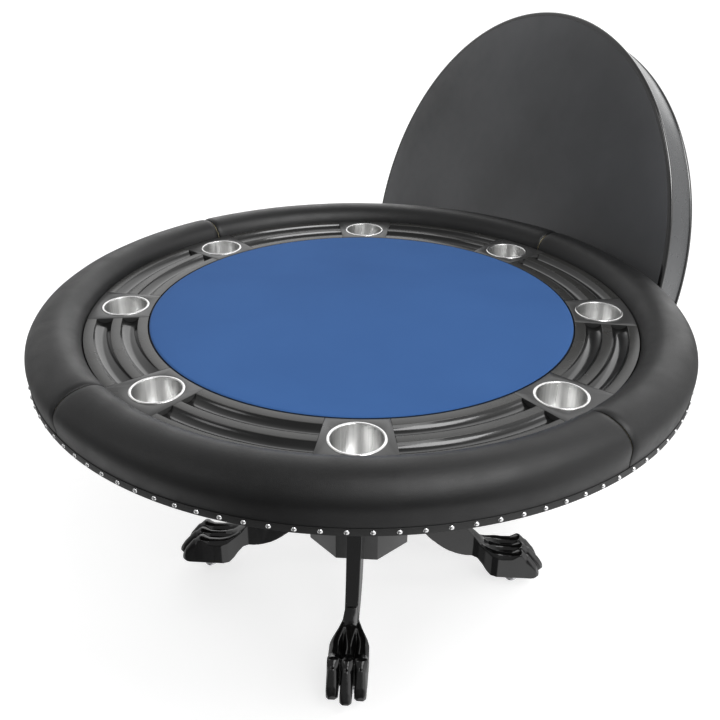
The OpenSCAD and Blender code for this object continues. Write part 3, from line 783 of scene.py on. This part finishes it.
def carved_block(bm, start, end, spread, top, low, cells):
    """A block whose width, top and underside are given by functions of the place on it, in mm."""
    lower = bmesh.ops.create_grid(bm, x_segments=cells[0], y_segments=cells[1], size=0.5)["verts"]
    faces = list({f for v in lower for f in v.link_faces})
    grown = bmesh.ops.extrude_face_region(bm, geom=faces, use_keep_orig=True)["geom"]
    upper = [g for g in grown if isinstance(g, bmesh.types.BMVert)]
    for verts, upper_side in ((lower, False), (upper, True)):
        for vert in verts:
            x = start + (end - start) * (vert.co.x + 0.5)
            left, right = spread(x)
            y = left + (right - left) * (vert.co.y + 0.5)
            z = max(top(x, y), low(x, y) + 3) if upper_side else low(x, y)
            vert.co = Vector((x, y, z)) * MM


def toe(bm, tip, lane, table):
    """One toe with its claw, pinched behind the knuckle and rounded off at the tip."""
    def spread(x):
        rounding = max(0.0, (x - tip + 11) / 11)
        half = 13.8 - 0.6 * smooth_step(x, 410, 422) - 6 * rounding ** 2
        return lane - half, lane + half

    carved_block(
        bm, 372, tip, spread, lambda x, y: ridge(x, y, table, lane),
        lambda x, y: 36 + 6 * smooth_step(x, tip - 16, tip), (72, 24)
    )


def carved_leg():
    """The mesh of one leg along +X, its parts fused to one skin and rubbed smooth."""
    bm = bmesh.new()
    leg_board(bm)
    carved_block(
        bm, 286, 404, lambda x: (-at_x(SPREAD, x)[0], at_x(SPREAD, x)[0]), instep_top,
        lambda x, y: at_x(ARCH, x)[0], (80, 60)
    )
    toe(bm, 468, 0, MIDDLE)
    toe(bm, 455, TOE_LANE, SIDE)
    toe(bm, 455, -TOE_LANE, SIDE)
    piece = to_piece(bm, "leg_pattern", lacquer)
    skin = piece.modifiers.new("Fused", "REMESH")
    skin.mode = "VOXEL"
    skin.voxel_size = 1.5 * MM
    rubbed = piece.modifiers.new("Rubbed", "SMOOTH")
    rubbed.factor = 0.5
    rubbed.iterations = 3
    baked(piece)
    mesh = piece.data
    bpy.data.objects.remove(piece)
    return mesh


leg_mesh = carved_leg()
for k, turn in enumerate(leg_turns, start=1):
    mesh = leg_mesh.copy()
    mesh.transform(Matrix.Rotation(turn, 4, "Z"))
    mesh.shade_smooth()
    piece = bpy.data.objects.new("claw_leg_%d" % k, mesh)
    scene.collection.objects.link(piece)
    fit(piece, "table", "black_lacquer", "leg_%d" % k)

# ---------------------------------------------------------------- levelling feet

stem_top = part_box("leveller_1")[1].z
foot_section = [
    (0, 0), (13.6 * MM, 0), (15 * MM, 1.4 * MM), (15 * MM, 4.8 * MM), (12.6 * MM, 8.6 * MM),
    (9 * MM, 10 * MM), (5 * MM, 10.2 * MM), (5 * MM, stem_top - 1 * MM), (4 * MM, stem_top), (0, stem_top),
]
for k, turn in enumerate(leg_turns, start=1):
    bm = bmesh.new()
    lathe(bm, foot_section, 40, closed=False)
    hexagon = [(9.8 * MM * math.cos(t * math.pi / 3), 9.8 * MM * math.sin(t * math.pi / 3)) for t in range(6)]
    nut = bmesh.new()
    slab(nut, [hexagon], 10.1 * MM, 16 * MM, 0.5 * MM)
    absorb(bm, nut)
    piece = to_piece(bm, "levelling_glide_%d" % k, dark_steel, at_turn(glide_r, turn))
    fit(piece, "levelling_foot_%d" % k, "dark_steel", "leveller_%d" % k)

# ---------------------------------------------------------------- dining top

bm = bmesh.new()
face_r = lid_r - bead
rings = [face_r * k / 8 for k in range(9)]
section = [(r, 0) for r in rings[:-1]]
section += [(face_r - 1.2 * MM, 0), (face_r - 0.3 * MM, -0.35 * MM), (face_r, -1.2 * MM)]
section += [(face_r, -bead), (0, -bead)]
lathe(bm, section, 192, closed=False)
fit(to_piece(bm, "dining_face", dining_face, lid_place), "dining_top", "dining_satin", "dining_panel")

bm = bmesh.new()
top_r = lid_r - 3 * MM
section = [(top_r - 25 * MM, -bead), (lid_foot_r - 7 * MM, bead - lid_h),
           (lid_foot_r + 4 * MM, bead - lid_h), (top_r, -bead)]
lathe(bm, eased(section, 0.8 * MM), 192)
fit(to_piece(bm, "dining_skirt", dining_edge, lid_place), "dining_top", "dining_edge", "dining_apron")


def bead_section(r, low):
    """Half-round bead with a flat back."""
    half = bead / 2
    return [(r - half, low + 0.3 * MM), (r - half, low + bead - 0.3 * MM)] + arc(
        (r, low + half), (half, half), 90, -90, 14)


for name, node, r, low in (
    ("dining_face_bead", "dining_front_bead", lid_r - bead / 2, -bead),
    ("dining_foot_bead", "dining_rear_bead", lid_foot_r, -lid_h),
):
    bm = bmesh.new()
    lathe(bm, bead_section(r, low), 224)
    fit(to_piece(bm, name, black_gloss, lid_place, crease=50.0), "dining_top", "black_gloss", node)

bm = bmesh.new()
reach = lid_foot_r - 60 * MM
for k in (1, 2, 3):
    x = -lid_foot_r + 2 * lid_foot_r / 4 * k
    half = math.sqrt(reach ** 2 - x ** 2)
    part = bmesh.new()
    box_outline = [(x - 30 * MM, -half), (x + 30 * MM, -half), (x + 30 * MM, half), (x - 30 * MM, half)]
    slab(part, [box_outline], -bead - 30 * MM, -bead, 1.5 * MM)
    absorb(bm, part)
fit(to_piece(bm, "dining_rails", plywood, lid_place), "dining_top", "plywood", "dining_battens")

# ---------------------------------------------------------------- finishes of the carried-over nodes

carried = {
    plywood: ["base_board", "rail_base", "rail_core", "playing_board", "mounting_plate", "column_top_block"],
    foam: ["rail_foam", "playing_foam"],
    zinc: ["rail_screws", "plate_screws", "block_screws", "leg_bolts", "leg_nuts"],
    brass: ["leveller_inserts"],
    column_paint: ["column_bottom_cap"],
}
for finish, names in carried.items():
    for name in names:
        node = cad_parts[name]
        node.data.materials.clear()
        node.data.materials.append(finish)

# ---------------------------------------------------------------- floor, light and camera


def staged(bm, name, grey, glow):
    """A matt, glowing surface of the studio, which isn't part of the object."""
    mesh = bpy.data.meshes.new(name)
    bm.to_mesh(mesh)
    bm.free()
    f = Finish(name, 0.9, spec=0.0)
    f.set(f.shader, {
        "Base Color": (grey, grey, grey, 1), "Emission Color": (1, 1, 1, 1), "Emission Strength": glow,
    })
    mesh.materials.append(f.material)
    piece = bpy.data.objects.new(name, mesh)
    scene.collection.objects.link(piece)
    return piece


def floor():
    bm = bmesh.new()
    bmesh.ops.create_grid(bm, x_segments=1, y_segments=1, size=60.0)
    staged(bm, "studio_floor", 0.6, 0.68).visible_glossy = False


def backdrop():
    """A plain white surround that only the camera sees; the light of the studio passes through it."""
    bm = bmesh.new()
    bmesh.ops.create_icosphere(bm, subdivisions=4, radius=45.0)
    piece = staged(bm, "studio_backdrop", 0.0, 1.0)
    piece.visible_diffuse = piece.visible_glossy = piece.visible_transmission = False
    piece.visible_shadow = False


def softbox(name, place, aim, size, power):
    light = bpy.data.lights.new(name, "AREA")
    light.shape = "RECTANGLE"
    light.size, light.size_y = size
    light.energy = power
    piece = bpy.data.objects.new(name, light)
    piece.location = place
    piece.rotation_mode = "QUATERNION"
    piece.rotation_quaternion = (Vector(aim) - Vector(place)).to_track_quat("-Z", "Y")
    scene.collection.objects.link(piece)


def studio_world():
    """A dim studio with soft patches of light: banks behind and above the viewer, others to the sides."""
    world = bpy.data.worlds.new("studio")
    scene.world = world
    world.use_nodes = True
    tree = world.node_tree
    back = tree.nodes["Background"]
    back.inputs["Color"].default_value = (1, 1, 1, 1)
    heading = tree.nodes.new("ShaderNodeTexCoord").outputs["Generated"]

    def patch(toward, edge, core, strength, before):
        """A soft patch of light about a direction, edge and core in degrees, added to those before."""
        cosine = tree.nodes.new("ShaderNodeVectorMath")
        cosine.operation = "DOT_PRODUCT"
        cosine.inputs[1].default_value = Vector(toward).normalized()
        tree.links.new(heading, cosine.inputs[0])
        fade = tree.nodes.new("ShaderNodeMapRange")
        fade.interpolation_type = "SMOOTHSTEP"
        fade.inputs["From Min"].default_value = math.cos(math.radians(edge))
        fade.inputs["From Max"].default_value = math.cos(math.radians(core))
        fade.inputs["To Max"].default_value = strength
        tree.links.new(cosine.outputs["Value"], fade.inputs["Value"])
        total = tree.nodes.new("ShaderNodeMath")
        total.operation = "ADD"
        tree.links.new(fade.outputs["Result"], total.inputs[0])
        if before is None:
            total.inputs[1].default_value = 0.1
        else:
            tree.links.new(before, total.inputs[1])
        return total.outputs["Value"]

    light = None
    for toward, edge, core, strength in (
        ((0, 0, 1), 93, 80, 0.2),
        ((0.22, 0.92, 0.34), 37, 26, 1.0),
        ((0.0, 1.0, 0.2), 85, 30, 0.3),
        ((0.276, -0.651, 0.707), 15, 9, 3.2),
        ((-0.736, -0.211, 0.643), 10, 5, 2.5),
        ((0.757, 0.12, 0.643), 9, 4, 2.5),
        ((1.0, -0.15, 0.4), 62, 20, 0.6),
        ((0.9, -0.4, 0.0), 38, 18, 0.4),
        ((0.32, -0.65, -0.69), 36, 16, 0.9),
        ((0.8, 0.05, -0.6), 36, 18, 0.9),
        ((-0.8, 0.05, -0.6), 34, 16, 0.6),
        ((-0.85, 0.5, 0.35), 50, 15, 0.15),
    ):
        light = patch(toward, edge, core, strength, light)
    tree.links.new(light, back.inputs["Strength"])


floor()
backdrop()
studio_world()
softbox("key_box", (1.3, -1.2, 3.6), (0.1, 0, 0.75), (1.6, 1.6), 60)

scene.view_settings.view_transform = "Standard"

camera_at = (0, -1.7106, 1.5276)
lens = bpy.data.cameras.new("camera")
lens.lens = 42.53
lens.sensor_width = 36
lens.clip_end = 200
camera = bpy.data.objects.new("camera", lens)
scene.collection.objects.link(camera)
pitch, yaw, roll = math.radians(27.94), math.radians(-0.09), math.radians(0.39)
ahead = Vector((math.sin(yaw) * math.cos(pitch), math.cos(yaw) * math.cos(pitch), -math.sin(pitch)))
right = ahead.cross(Vector((0, 0, 1))).normalized()
up = right.cross(ahead)
tilted = math.cos(roll) * right + math.sin(roll) * up
upright = math.cos(roll) * up - math.sin(roll) * right
axes = Matrix((tilted, upright, -ahead)).transposed().to_4x4()
camera.matrix_world = Matrix.Translation(camera_at) @ axes
scene.camera = camera
